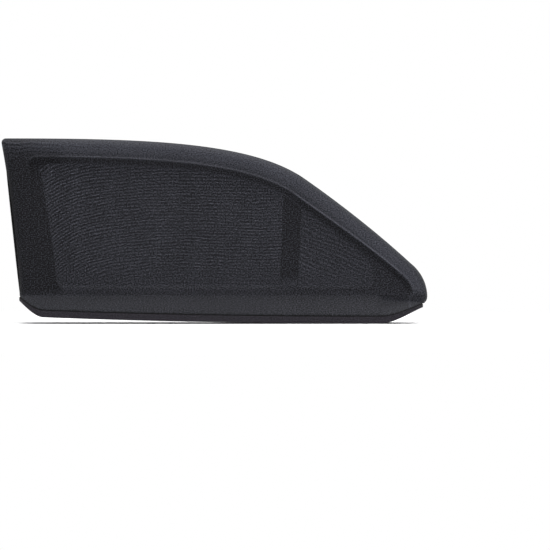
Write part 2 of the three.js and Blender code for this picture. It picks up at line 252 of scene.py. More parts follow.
@dataclass(frozen=True)
class Zones:
    """Distances in millimetres and masks over the fine grid, from which form and tones are made."""

    x: np.ndarray
    z: np.ndarray
    roof: np.ndarray
    front: np.ndarray
    inside_lip: np.ndarray
    fade_share: np.ndarray
    clear_of_tip: np.ndarray
    inside_field: np.ndarray
    beside_divider: np.ndarray
    fall: np.ndarray


@dataclass(frozen=True)
class HemLoop:
    """Stations round the hem's lower edge, along the cabin side and back along the street side."""

    places: np.ndarray
    outward: np.ndarray
    rise: np.ndarray
    height: np.ndarray
    along: np.ndarray


def smoothstep(x: np.ndarray, low: float, high: float) -> np.ndarray:
    """Smooth step from 0 to 1.

    Args:
        x: Values to map.
        low: Value at which the step starts.
        high: Value at which it ends.

    Returns:
        The step at each value.
    """
    t = np.clip((np.asarray(x, float) - low) / (high - low), 0.0, 1.0)
    return t * t * (3.0 - 2.0 * t)


def lerp(a: Numbers, b: Numbers, t: Numbers) -> Numbers:
    """Straight blend from a to b as t goes from 0 to 1."""
    return a + (b - a) * t


def unit(ways: np.ndarray) -> np.ndarray:
    """The same ways with a length of 1."""
    return ways / np.linalg.norm(ways, axis=-1, keepdims=True)


def run_along(points: np.ndarray) -> np.ndarray:
    """Length of the path through the points, up to each of them."""
    return np.r_[0.0, np.cumsum(np.linalg.norm(np.diff(points, axis=0), axis=1))]


def bezier(points: list, count: int = 160) -> np.ndarray:
    """Points along a Bezier curve of any degree.

    Args:
        points: Control points.
        count: Number of steps.

    Returns:
        An array of count + 1 points.
    """
    t = np.linspace(0.0, 1.0, count + 1)[:, None]
    rows = [np.repeat(np.asarray(p, float)[None], count + 1, 0) for p in points]
    while len(rows) > 1:
        rows = [lerp(a, b, t) for a, b in zip(rows, rows[1:])]
    return rows[0]


class Chain:
    """A chain of straight pieces in the plane of X and Z."""

    BATCH = 4096

    def __init__(self, points: np.ndarray):
        """Drops points that fall on the one before them.

        Args:
            points: Array of points, in x and z.
        """
        keep = np.r_[True, np.linalg.norm(np.diff(points, axis=0), axis=1) > 1e-9]
        self.points = points[keep]
        self.along = run_along(self.points)

    @property
    def length(self) -> float:
        """Length of the whole chain."""
        return float(self.along[-1])

    def at(self, share: Numbers) -> np.ndarray:
        """Points at shares of the whole length.

        Args:
            share: Shares from 0 to 1.

        Returns:
            Array of points, in x and z.
        """
        s = np.asarray(share, float) * self.length
        x = np.interp(s, self.along, self.points[:, 0])
        z = np.interp(s, self.along, self.points[:, 1])
        return np.stack([x, z], -1)

    def share_at_x(self, x: float) -> float:
        """Share of the length at which the chain first reaches x."""
        reached = np.maximum.accumulate(self.points[:, 0])
        return float(np.interp(x, reached, self.along)) / self.length

    def distance(self, points: np.ndarray) -> np.ndarray:
        """Distance of each point to the chain.

        Args:
            points: Array of points, with x and z last.

        Returns:
            An array of distances in the shape of the points.
        """
        flat = points.reshape(-1, 2)
        start, run = self.points[:-1], np.diff(self.points, axis=0)
        square = (run**2).sum(1)
        found = np.empty(len(flat))
        for low in range(0, len(flat), self.BATCH):
            rel = flat[low : low + self.BATCH, None, :] - start[None]
            t = np.clip((rel * run[None]).sum(2) / square[None], 0.0, 1.0)
            gap = rel - t[..., None] * run[None]
            found[low : low + self.BATCH] = np.sqrt((gap**2).sum(2).min(1))
        return found.reshape(points.shape[:-1])


class Outline:
    """The sleeve's outline seen along Y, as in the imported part."""

    def __init__(self, size: SleeveSize):
        """Works out the front edge, the roof edge with the slope, and the rear edge.

        Args:
            size: The sleeve's sizes.
        """
        s = size
        self.front_foot = np.array([s.front_x + s.front_lean, s.hem_front_end_rise + s.hem_end_height])
        corner = np.array([s.front_x, s.height])
        up = unit(corner - self.front_foot)
        inward = np.array([up[1], -up[0]])
        radius = s.roof_corner_radius
        cut = 1.0 - np.sqrt(0.5)
        middle = corner + np.array([radius * cut * 1.05, -radius * cut])
        foot = corner - up * radius
        bow = (self.front_foot + foot) / 2 + inward * 2 * s.front_bow
        into_corner = bezier([foot, foot + up * 0.45 * radius, middle], 12)
        self.front = Chain(np.vstack([bezier([self.front_foot, bow, foot], 90), into_corner]))
        self.slope_start = np.array([s.rear_x - s.slope_start_from_rear, s.height - s.slope_start_drop])
        slope_end = np.array([s.rear_x - s.slope_end_from_rear, s.slope_end_height])
        self.tip = np.array([s.rear_x, s.tip_height])
        rear_foot_z = s.hem_rear_end_rise + s.hem_end_height + s.gap
        self.rear_foot = np.array([s.rear_x - s.hem_rear_end_from_tip, rear_foot_z])
        head = np.array([s.front_x + radius, s.height])
        slope = slope_end - self.slope_start
        easing = self.slope_start - 0.5 * slope
        easing[1] = s.height - 0.08 * s.slope_start_drop
        roof_end = [lerp(head[0], self.slope_start[0], 0.47), s.height]
        leave, arrive = self.slope_start + slope * [0.32, 0.28], self.slope_start + slope * [0.68, 0.63]
        above_tip = lerp(self.tip, np.array([self.tip[0], slope_end[1]]), 0.37)
        roof = [
            bezier([middle, [head[0] - 0.45 * radius, s.height], head], 12),
            bezier([head, roof_end, easing, self.slope_start], 120),
            bezier([self.slope_start, leave, arrive, slope_end], 60),
            bezier([slope_end, slope_end + 0.1 * slope, above_tip, self.tip], 24),
        ]
        below_tip = [self.tip[0], lerp(self.tip[1], self.rear_foot[1], 0.6)]
        rear = bezier([self.tip, below_tip, self.rear_foot], 12)
        self.roof = Chain(np.vstack(roof))
        self.rear = Chain(rear)
        self.edge = Chain(np.vstack([*roof, rear]))
        self.corner_middle = middle

    def front_distance(self, points: np.ndarray) -> np.ndarray:
        """Distance to the front edge, and below it to its line down to the hem."""
        below = np.abs(points[..., 0] - self.front_foot[0])
        return np.where(points[..., 1] < self.front_foot[1], below, self.front.distance(points))


@dataclass
class Columns:
    """Columns of the sleeve's mesh, each with its place along the hem and along the roof edge."""

    hem_x: np.ndarray
    roof_share: np.ndarray
    turn: np.ndarray
    end_rise: np.ndarray
    rise: np.ndarray = field(default=None)
    height: np.ndarray = field(default=None)

    @property
    def count(self) -> int:
        """Number of columns."""
        return len(self.hem_x)


class Sleeve:
    """The form of the stretched sleeve, worked out at any fineness."""

    CORNER_STEPS = 7
    TIP_STEPS = 8
    # Coarse rows between the hem and the crease, and fine rows for each coarse one
    FLARE_ROWS = 4
    ROW_STEPS = 5
    CREASE_ROW = FLARE_ROWS * ROW_STEPS

    def __init__(self, size: SleeveSize, fineness: int):
        """Works out the columns, the rows and the grid.

        Args:
            size: The sleeve's sizes.
            fineness: Columns for each coarse column.
        """
        self.size = size
        self.fineness = fineness
        self.outline = Outline(size)
        self.hem_front_x = float(self.outline.front_foot[0])
        self.hem_rear_x = float(self.outline.rear_foot[0])
        self.columns = self._columns()
        self.shares = self._row_shares()
        self.grid = self._grid()

    def share_above_sill(self, z: Numbers) -> Numbers:
        """Height z as a share of the way from the sill line to the roof edge."""
        return (z - self.size.sill_height) / (self.size.height - self.size.sill_height)

    def divider_centre(self, z: Numbers) -> Numbers:
        """Middle of the raised band between the two fields at height z."""
        s = self.size
        return s.rear_x - s.divider_from_rear + s.divider_lean * self.share_above_sill(z)

    def field_front_inset_at(self, z: Numbers) -> Numbers:
        """Distance of the front field's front edge from the sleeve's front edge at height z."""
        return self.size.field_front_inset - self.size.field_front_lean * self.share_above_sill(z)

    def _columns(self) -> Columns:
        """Columns from the front edge to the tip, dense at both ends and along every feature line.

        Returns:
            The columns, front first.
        """
        s, out, k = self.size, self.outline, self.fineness
        straight_from = self.hem_front_x + s.hem_front_corner_run
        straight_to = self.hem_rear_x - s.hem_rear_corner_run
        rows = []
        corner_run = s.lip_front_inset - 3 * s.lip_width
        for i in range(self.CORNER_STEPS * k + 1):
            turn = i / (self.CORNER_STEPS * k)
            inward = 1.0 - np.cos(turn * np.pi / 2)
            roof_x = lerp(out.corner_middle[0], s.front_x + corner_run, inward)
            place = out.roof.share_at_x(roof_x) if i else 0.0
            hem_x = self.hem_front_x + s.hem_front_corner_run * inward
            rows.append((hem_x, place, turn, s.hem_front_end_rise))
        for hem_x, roof_x, steps in self._feature_lines(corner_run):
            last_x, last_place = rows[-1][:2]
            place = out.roof.share_at_x(roof_x)
            for i in range(1, steps * k + 1):
                t = i / (steps * k)
                rows.append((lerp(last_x, hem_x, t), lerp(last_place, place, t), 1.0, 0.0))
        tip_run = 1.0 - out.roof.share_at_x(s.rear_x - s.field_rear_from_tip / 2)
        last_x, last_place = rows[-1][:2]
        for i in range(1, k + 1):
            t = i / k
            rows.append((lerp(last_x, straight_to, t), lerp(last_place, 1.0 - tip_run, t), 1.0, 0.0))
        for i in range(1, self.TIP_STEPS * k + 1):
            turn = 1.0 - i / (self.TIP_STEPS * k)
            hem_x = self.hem_rear_x - s.hem_rear_corner_run * (1.0 - np.cos(turn * np.pi / 2))
            rows.append((hem_x, 1.0 - tip_run * turn**1.3, turn, s.hem_rear_end_rise))
        columns = Columns(*np.array(rows).T)
        share = np.clip((columns.hem_x - straight_from) / (straight_to - straight_from), 0.0, 1.0)
        sweep = smoothstep(columns.turn**1.4, 0.0, 1.0)
        columns.rise = lerp(columns.end_rise, s.hem_front_corner_rise * (1.0 - share) ** 2.2, sweep)
        columns.height = lerp(s.hem_end_height, s.hem_height, sweep)
        return columns

    def _feature_lines(self, corner_run: float) -> list:
        """Lines that a column follows: x at the hem, x at the roof edge and steps up to it.

        Args:
            corner_run: Length along the roof edge that the front corner's columns take.

        Returns:
            Tuples of the two places and the number of steps.
        """
        s = self.size
        edge = s.field_front_inset - s.field_step / 2
        lines = []
        lean = s.field_front_lean
        front = [
            (s.lip_front_inset - s.lip_width, 1, 0.0),
            (s.lip_front_inset, 1, 0.0),
            (s.lip_front_inset + s.lip_width, 1, 0.0),
            (s.lip_front_inset + s.lip_drop, 2, 0.0),
            (edge, 1, lean),
            (edge + s.field_step, 1, lean),
            (s.field_front_inset + 2 * s.field_corner_radius, 2, lean),
        ]
        for inset, steps, roof_lean in front:
            share = min((inset - corner_run) / (edge - corner_run), 1.0)
            hem_inset = lerp(s.hem_front_corner_run, edge, share) + max(inset - edge, 0.0)
            lines.append((self.hem_front_x + hem_inset, s.front_x + inset - roof_lean, steps))
        foot = float(self.divider_centre(0.0))
        head = float(self.divider_centre(s.height - s.slope_start_drop))
        half, soft = s.divider_width / 2, s.divider_softness / 2
        for offset, steps in ((-half - soft, 10), (-half + soft, 1), (half - soft, 1), (half + soft, 1)):
            lines.append((foot + offset, head + offset, steps))
        rear = s.rear_x - s.field_rear_from_tip
        half_step = s.field_step / 2
        for offset, steps in ((-2 * s.field_corner_radius, 4), (-half_step, 2), (half_step, 1)):
            lines.append((rear + offset, rear + offset, steps))
        return lines

    def _ribs(self, shares: np.ndarray) -> np.ndarray:
        """Points on every column's rib.

        Args:
            shares: One row of shares for each column, counted from the rib's foot.

        Returns:
            Array of columns x shares x 2, in x and z.
        """
        s, columns = self.size, self.columns
        foot = np.stack([columns.hem_x, columns.rise + columns.height + s.gap], -1)
        head = self.outline.roof.at(columns.roof_share)
        points = lerp(foot[:, None], head[:, None], shares[..., None])
        points[0] = self.outline.front.at(shares[0])
        points[-1] = self.outline.rear.at(1.0 - shares[-1])
        return points

    def _row_shares(self) -> np.ndarray:
        """Shares of each rib at which the mesh's rows lie, before they are made finer.

        Returns:
            Array of columns x rows.
        """
        s = self.size
        ends = self._ribs(np.repeat(np.array([[0.0, 1.0]]), self.columns.count, 0))
        foot, head = ends[:, 0, 1], ends[:, 1, 1]
        flare = np.linspace(0.0, 1.0, self.FLARE_ROWS + 1)[None] * (s.crease_height - foot)[:, None]
        sill = s.sill_height + s.field_step * np.array([-0.5, 0.5, 2.0])
        low = np.hstack([flare, sill[None] - foot[:, None]])
        low *= np.minimum(1.0 / (head - foot), 0.45 / low[:, -1])[:, None]
        lip = self.lip_inset_at(ends[:, 1, 0])[:, None]
        one = np.ones_like(lip)
        roll = [s.edge_roll * (1.0 - np.sin(i / 4 * np.pi / 2)) for i in range(4)]
        high = np.hstack(
            [
                one * (s.field_inset + s.field_step),
                one * s.field_inset,
                lip + s.lip_drop / 2,
                lip + s.lip_width,
                lip,
                lip - s.lip_width,
                (lip + s.edge_roll) / 2,
                *[one * r for r in roll],
            ]
        )
        samples = lerp(1.0, low[:, -1:], np.linspace(0.0, 1.0, 90)[None])
        reach = self.outline.edge.distance(self._ribs(samples))
        shares = np.empty_like(high)
        for j in range(self.columns.count - 1):
            deepest = int(np.argmax(reach[j]))
            rising = np.maximum.accumulate(reach[j, : deepest + 1])
            fit = min(1.0, 0.8 * rising[-1] / high[j, 0])
            shares[j] = np.interp(high[j] * fit, rising, samples[j, : deepest + 1])
        shares[-1] = shares[-2]
        low[-1] = low[-2]
        steps = np.linspace(0.0, 1.0, 7)[None, 1:-1]
        middle = lerp(low[:, -1:], shares[:, :1], steps)
        return np.hstack([low, middle, shares, np.ones((len(low), 1))])

    def _grid(self) -> np.ndarray:
        """Fine grid of points in x and z, columns first, from the hem up to the roof edge.

        Returns:
            Array of columns x rows x 2.
        """
        coarse = self.shares.shape[1]
        fine = np.linspace(0.0, coarse - 1.0, (coarse - 1) * self.ROW_STEPS + 1)
        shares = np.stack([np.interp(fine, np.arange(coarse), row) for row in self.shares])
        return self._ribs(shares)

    def lip_inset_at(self, x: np.ndarray) -> np.ndarray:
        """Distance of the rim's lip from the roof edge."""
        s = self.size
        return lerp(s.lip_inset, s.lip_inset_at_tip, smoothstep(x, self.outline.slope_start[0], s.rear_x))

    @staticmethod
    def rounded_least(radius: float, distances: list) -> np.ndarray:
        """Least of several distances, with the corners between them rounded."""
        short = np.sqrt(sum(np.maximum(radius - d, 0.0) ** 2 for d in distances))
        return np.minimum(radius - short, np.minimum.reduce(distances))

    def zones(self) -> Zones:
        """Works out the zones over the fine grid.

        Returns:
            The zones, each in the shape of the grid.
        """
        s, out = self.size, self.outline
        x, z = self.grid[..., 0], self.grid[..., 1]
        roof, front = out.edge.distance(self.grid), out.front_distance(self.grid)
        from_lip = [roof - self.lip_inset_at(x), front - s.lip_front_inset]
        fade = smoothstep(roof, s.lip_inset, s.lip_fade)
        fade_share = fade * (1.0 - smoothstep(front, s.lip_front_inset, 2 * s.lip_front_inset))
        from_field_edges = [
            roof - s.field_inset,
            front - self.field_front_inset_at(z),
            z - s.sill_height,
            s.rear_x - s.field_rear_from_tip - x,
        ]
        foot = self.grid[:, :1, 1]
        crease = self.grid[:, self.CREASE_ROW, None, 1]
        fall = np.clip((crease - z) / np.maximum(crease - foot, 1e-6), 0.0, 1.0)
        return Zones(
            x=x,
            z=z,
            roof=roof,
            front=front,
            inside_lip=self.rounded_least(s.lip_corner_radius, from_lip),
            fade_share=fade_share,
            clear_of_tip=smoothstep(np.hypot(x - out.tip[0], z - out.tip[1]), s.edge_roll, s.tip_smoothing),
            inside_field=self.rounded_least(s.field_corner_radius, from_field_edges),
            beside_divider=np.abs(x - self.divider_centre(z)) - s.divider_width / 2,
            fall=fall,
        )

    def hem_depth(self, side: Side) -> np.ndarray:
        """Depth of the hem's loop at each column."""
        return lerp(self.size.seam_half, side.hem_depth, np.sin(self.columns.turn * np.pi / 2))

    def barrel_shift(self, z: np.ndarray) -> np.ndarray:
        """Shift of both panels towards the street at height z.

        Args:
            z: Heights.

        Returns:
            The shift at each height.
        """
        s = self.size
        share = np.clip((z - s.crease_height) / (s.height - s.crease_height), 0.0, 1.0)
        return 4 * s.barrel * share * (1.0 - share)

    def panel(self, side: Side, zones: Zones) -> np.ndarray:
        """Points of one stretched panel, columns first, in millimetres.

        Args:
            side: The side that the panel is on.
            zones: The grid's distances and masks, from zones().

        Returns:
            Array of columns x rows x 3.
        """
        s = self.size
        edge = np.minimum(zones.roof, zones.front)
        left = 1.0 - np.minimum(edge / s.edge_roll, 1.0)
        closed = s.binding_thickness / 2 - SEAM_OVERLAP
        rim = lerp(closed, side.frame_depth, np.sqrt(1.0 - left**2))
        line = np.exp(-((zones.inside_lip / s.lip_width) ** 2))
        bead = side.lip_rise * (1.0 - zones.fade_share) * zones.clear_of_tip * line
        drop = lerp(s.lip_drop, s.field_front_inset - s.lip_front_inset, zones.fade_share)
        inside = np.clip(zones.inside_lip / drop, 0.0, 1.0)
        recess = zones.clear_of_tip * inside**2 * (3.0 - 2.0 * inside)
        depth = lerp(rim + bead, side.recess_depth, recess)
        half_step, soft = s.field_step / 2, s.divider_softness / 2
        in_field = smoothstep(zones.inside_field, -half_step, half_step)
        in_field = in_field * smoothstep(zones.beside_divider, -soft, soft)
        depth = lerp(depth, side.field_depth, in_field)
        depth = depth + self.folds(zones, side)
        depth[0], depth[-1], depth[:, -1] = closed, closed, closed
        fall = zones.fall
        flare = lerp(fall, smoothstep(fall, 0.0, 1.0), 0.4)
        depth = lerp(depth, self.hem_depth(side)[:, None], flare)
        y = side.way * depth + self.barrel_shift(zones.z)
        points = np.stack([zones.x, y, zones.z], -1)
        slot_z = self.columns.rise + s.slot_foot
        slot = np.stack([self.columns.hem_x, side.way * self.hem_depth(side), slot_z], -1)
        return np.concatenate([slot[:, None], points], 1)

    def rim_band(self, zones: Zones) -> np.ndarray:
        """Mask of the rim along the roof, clear of the seam and of the lip."""
        lip = self.size.lip_inset
        return smoothstep(zones.roof, 3.0, 9.0) * (1.0 - smoothstep(zones.roof, lip - 9.0, lip - 2.0))

    def corner_folds(self, zones: Zones) -> np.ndarray:
        """Long fine folds of the rim near the front roof corner, from -1 to 1.

        Args:
            zones: The grid's distances and masks, from zones().

        Returns:
            An array over the fine grid.
        """
        x, pitch = zones.x, 8.6
        near = (1.0 - smoothstep(zones.front, 45.0, 180.0)) * smoothstep(zones.front, 2.0, 16.0)
        wander = 1.6 * np.sin(x / 17.0) + 1.1 * np.sin(x / 7.3 + 1.0)
        return self.rim_band(zones) * near * np.sin(2 * np.pi * (zones.roof + wander * 0.7) / pitch)

    def folds(self, zones: Zones, side: Side) -> np.ndarray:
        """Small folds and unevenness of the stretched cloth, away from the middle plane.

        Args:
            zones: The grid's distances and masks, from zones().
            side: The side that the panel is on.

        Returns:
            An array over the fine grid.
        """
        x, z = zones.x, zones.z
        tension = 0.6 * self.corner_folds(zones)
        waves = np.sin(x / 23.0 + 0.6 * side.way) + 0.7 * np.sin(x / 11.7 + z / 31.0)
        along = 0.16 * self.rim_band(zones) * waves
        gathers = smoothstep(zones.fall, 0.05, 0.6) * (1.0 - smoothstep(zones.fall, 0.93, 1.0))
        ripple = np.sin(x / 5.1 + 1.3 * np.sin(x / 37.0)) + 0.6 * np.sin(x / 8.9 + 2.0)
        return tension + along + 0.22 * gathers * ripple

    def field_masks(self, zones: Zones) -> tuple:
        """Masks of both fields, of the band between them and of all that lies behind the band.

        Args:
            zones: The grid's distances and masks, from zones().

        Returns:
            Three arrays over the fine grid.
        """
        spans = ToneSpans()
        field_mask = smoothstep(zones.inside_field, *spans.field_edge)
        bar = 1.0 - smoothstep(zones.beside_divider, *spans.field_edge)
        bar = bar * smoothstep(zones.z - self.size.sill_height, *spans.divider_above_sill)
        behind = zones.x - self.divider_centre(zones.z)
        return field_mask, bar, smoothstep(behind, *spans.rear_from_divider)

    def tone(self, zones: Zones) -> np.ndarray:
        """Tone of the mesh over the fine grid, as a factor of its colour, with painted highlights on the
        rim and the lip, and painted shade below the lip, on the corner folds and at the hem.

        Args:
            zones: The grid's distances and masks, from zones().

        Returns:
            An array over the fine grid.
        """
        s, share, spans = self.size, ToneShares(), ToneSpans()
        field_mask, bar, rear = self.field_masks(zones)
        inside, roof = zones.inside_lip, zones.roof
        within = smoothstep(inside, *spans.within_lip)
        above = smoothstep(zones.z, s.crease_height - 4.0, s.sill_height - 2.0)
        front_band = above * (1.0 - field_mask) * smoothstep(roof, *spans.front_band_from_roof)
        front_band = front_band * (1.0 - smoothstep(zones.x - s.front_x, *spans.front_band_end))
        # Painted shade in the recess just below the lip's ridge
        lip_shade = within * (1.0 - smoothstep(inside, *spans.lip_shade_end)) * (1.0 - zones.fade_share)
        tone = 1.0 - share.front_band * front_band
        tone = tone - share.painted_shade_below_lip * lip_shade * (1.0 - 0.5 * front_band) * above
        tone = tone * (1.0 - share.divider * bar * field_mask)
        tone = tone * (1.0 - share.below_crease * (1.0 - above))
        tone = tone * (1.0 - share.rear_corner * (1.0 - field_mask) * rear * within * above)
        tone = tone * (1.0 + share.rear_field_lighter * rear * field_mask * (1.0 - bar))
        # Painted highlight across the rim, with painted shade towards the seam and towards the lip
        rim = (1.0 - within) * (1.0 - front_band) * above
        lit = smoothstep(zones.front, *spans.lit_from_front)
        tone = tone * (1.0 + rim * lerp(share.rim_painted_highlight_at_front, share.rim_painted_highlight, lit))
        tone = tone * (1.0 - share.rim_painted_shade_at_seam * rim * (1.0 - smoothstep(roof, *spans.seam_shade_end)))
        tone = tone * (1.0 - share.rim_painted_shade_at_lip * rim * smoothstep(roof, *spans.lip_side_of_rim))
        # Painted highlight along the lip's ridge
        line = np.exp(-((inside / spans.lip_line) ** 2)) * (1.0 - zones.fade_share) * zones.clear_of_tip
        tone = tone * (1.0 + lerp(share.lip_painted_highlight, share.rear_lip_painted_highlight, rear) * line)
        # Painted light and shade on the crests and troughs of the corner folds
        tone = tone * (1.0 + share.corner_folds * self.corner_folds(zones))
        # Painted shade line where the mesh meets the hem
        above_hem = zones.z - zones.z[:, :1]
        return tone * (1.0 - share.hem_painted_shade_line * np.exp(-((above_hem / spans.hem_painted_shade_line) ** 2)))

    def streaks(self, zones: Zones) -> tuple:
        """Strength and phase of the streaks over the fine grid: bent at the front, slanted at the rear.

        Args:
            zones: The grid's distances and masks, from zones().

        Returns:
            Two arrays over the fine grid.
        """
        run, x, z = StreakRun(), zones.x, zones.z
        behind = x - self.divider_centre(z)
        field_mask, bar, rear = self.field_masks(zones)
        from_front = np.maximum(zones.front - self.field_front_inset_at(z), 0.0)
        fading = lerp(run.low_fade, 1.0, smoothstep(z, *run.low_fade_heights))
        away = smoothstep(from_front, *run.front_fade)
        fading = fading * lerp(run.near_front, run.far_from_front, away)
        strength = field_mask * (1.0 - bar) * fading * lerp(run.front_strength, run.rear_strength, rear)
        bend = lerp(run.bend_at_sill, run.bend_at_roof, self.share_above_sill(z))
        bend = bend * np.exp(-from_front / run.bend_reach)
        level = z / run.pitch + bend + run.sway * np.sin(x / run.sway_length)
        slanted = (z + run.rear_slant * behind) / run.rear_pitch
        return strength, lerp(level, slanted, smoothstep(behind, -run.rear_blend, run.rear_blend))

    def attributes(self, zones: Zones) -> dict:
        """Numbers that the mesh's material reads, with one row more for the mesh inside the hem.

        Args:
            zones: The grid's distances and masks, from zones().

        Returns:
            Arrays by name.
        """
        strength, phase = self.streaks(zones)
        values = {"tone": self.tone(zones), "streak": strength, "phase": phase}
        return {key: np.hstack([value[:, :1], value]) for key, value in values.items()}

    def hem_loop(self) -> HemLoop:
        """The hem's lower edge as a closed loop, with the outward way at each of its stations.

        Returns:
            The loop's stations, front first.
        """
        columns = self.columns
        near = np.stack([columns.hem_x, CABIN.way * self.hem_depth(CABIN)], -1)
        far = np.stack([columns.hem_x, STREET.way * self.hem_depth(STREET)], -1)
        places = np.vstack([near, far[::-1]])
        into = unit(places - np.roll(places, 1, 0))
        out = unit(np.roll(places, -1, 0) - places)
        outward = unit(np.stack([into[:, 1] + out[:, 1], -into[:, 0] - out[:, 0]], -1))
        mitre = 1.0 / np.abs(outward[:, 0] * out[:, 1] - outward[:, 1] * out[:, 0])
        return HemLoop(
            places=places,
            outward=outward * mitre[:, None],
            rise=np.r_[columns.rise, columns.rise[::-1]],
            height=np.r_[columns.height, columns.height[::-1]],
            along=run_along(places),
        )


def grid_faces(columns: int, rows: int, flip: bool) -> list:
    """Quads between neighbouring columns and rows of a grid of points.

    Args:
        columns: Number of columns.
        rows: Number of rows.
        flip: Turns the faces round.

    Returns:
        Lists of four point numbers.
    """
    j, i = np.meshgrid(np.arange(columns - 1), np.arange(rows - 1), indexing="ij")
    a = (j * rows + i).ravel()
    quads = np.stack([a, a + rows, a + rows + 1, a + 1], -1)
    return (quads[:, ::-1] if flip else quads).tolist()


def mesh_object(name: str, points: np.ndarray, faces: list, **attributes: Numbers) -> bpy.types.Object:
    """Makes a smooth mesh object from points in millimetres.

    Args:
        name: The piece's name.
        points: Array of points, with x, y and z last.
        faces: Lists of point numbers.
        attributes: Name to one number for each point, or to an array that broadcasts to that.

    Returns:
        The object, linked to the scene.
    """
    mesh = bpy.data.meshes.new(name)
    mesh.from_pydata((points.reshape(-1, 3) * MM).tolist(), [], faces)
    mesh.shade_smooth()
    for key, values in attributes.items():
        spread = np.broadcast_to(values, points.shape[:-1]).astype(np.float32)
        mesh.attributes.new(key, "FLOAT", "POINT").data.foreach_set("value", spread.ravel())
    mesh.update()
    obj = bpy.data.objects.new(name, mesh)
    bpy.context.scene.collection.objects.link(obj)
    return obj


def ring_faces(stations: int, section: int) -> list:
    """Quads of a closed section swept round a closed loop.

    Args:
        stations: Number of stations on the loop.
        section: Number of corners of the section.

    Returns:
        Lists of four point numbers.
    """
    j, i = np.meshgrid(np.arange(stations), np.arange(section), indexing="ij")
    here, there = j * section, (j + 1) % stations * section
    k = (i + 1) % section
    return np.stack([here + i, there + i, there + k, here + k], -1).reshape(-1, 4).tolist()


def sweep_hem(loop: HemLoop, out: np.ndarray, share: np.ndarray, plus: np.ndarray) -> np.ndarray:
    """Sweeps a section round the hem's loop.

    Args:
        loop: The loop to follow.
        out: Distance out from the loop, for each station and corner or for each corner.
        share: Share of the hem's height at each corner.
        plus: Millimetres above that at each corner.

    Returns:
        Array of stations x corners x 3.
    """
    out = np.broadcast_to(out, (len(loop.places), len(share)))
    x = loop.places[:, :1] + out * loop.outward[:, :1]
    y = loop.places[:, 1:] + out * loop.outward[:, 1:]
    z = loop.rise[:, None] + share[None] * loop.height[:, None] + plus[None]
    return np.stack([x, y, z], -1)


def hem_casing(sleeve: Sleeve) -> bpy.types.Object:
    """The folded hem: two legs and a rounded fold, a little puckered by the elastic.

    Args:
        sleeve: The sleeve that it belongs to.

    Returns:
        The piece, linked to the scene.
    """
    s, loop = sleeve.size, sleeve.hem_loop()
    slot = s.cloth / 2 + s.gap
    skin = slot + s.cloth
    leg = np.linspace(1.0, 0.1, 16)
    groove = GROOVE_DEPTH * np.exp(-(((leg - STITCH_HEIGHT) / 0.05) ** 2))
    bulge = 0.1 * np.exp(-(((leg - 0.24) / 0.14) ** 2))
    leg_out = skin - groove + bulge
    leg_out[0] -= 0.2
    fold = np.linspace(0.0, np.pi, 9)
    fold_out, fold_plus = skin * np.cos(fold), 0.45 * skin * (1.0 - np.sin(fold))
    flat = np.zeros(len(leg))
    out = np.r_[leg_out, fold_out, -leg_out[::-1], -slot, -slot, slot, slot]
    share = np.r_[leg, 0.0 * fold, leg[::-1], 1.0, 0.0, 0.0, 1.0]
    plus = np.r_[flat, fold_plus, flat, 0.0, s.cloth, s.cloth, 0.0]
    along = loop.along
    pucker = 0.07 * np.sin(along / 2.1 + 1.4 * np.sin(along / 19.0)) + 0.05 * np.sin(along / 5.3)
    skinned = (np.abs(out) > slot + 0.1) * np.sign(out)
    points = sweep_hem(loop, out[None] + pucker[:, None] * skinned[None] * share[None] ** 0.5, share, plus)
    height = share + plus / s.hem_height
    values = {"height": height, "warp": along[:, None], "weft": height * s.hem_height}
    return mesh_object("hem_fold", points, ring_faces(*points.shape[:2]), **values)


def hem_elastic(sleeve: Sleeve) -> bpy.types.Object:
    """The flat elastic that lies in the hem's fold.

    Args:
        sleeve: The sleeve that it belongs to.

    Returns:
        The piece, linked to the scene.
    """
    s, loop = sleeve.size, sleeve.hem_loop()
    rise = np.array([0.0, 0.06, 0.2, 0.4, 0.6, 0.8, 0.94, 1.0])
    width = s.cloth / 2 * np.array([0.5, 0.85, 1.0, 1.0, 1.0, 1.0, 0.85, 0.5])
    plus = s.elastic_foot + s.elastic_height * np.r_[rise, rise[::-1]]
    points = sweep_hem(loop, np.r_[width, -width[::-1]], np.zeros(len(plus)), plus)
    return mesh_object(
        "elastic_band", points, ring_faces(*points.shape[:2]), warp=loop.along[:, None], weft=plus
    )


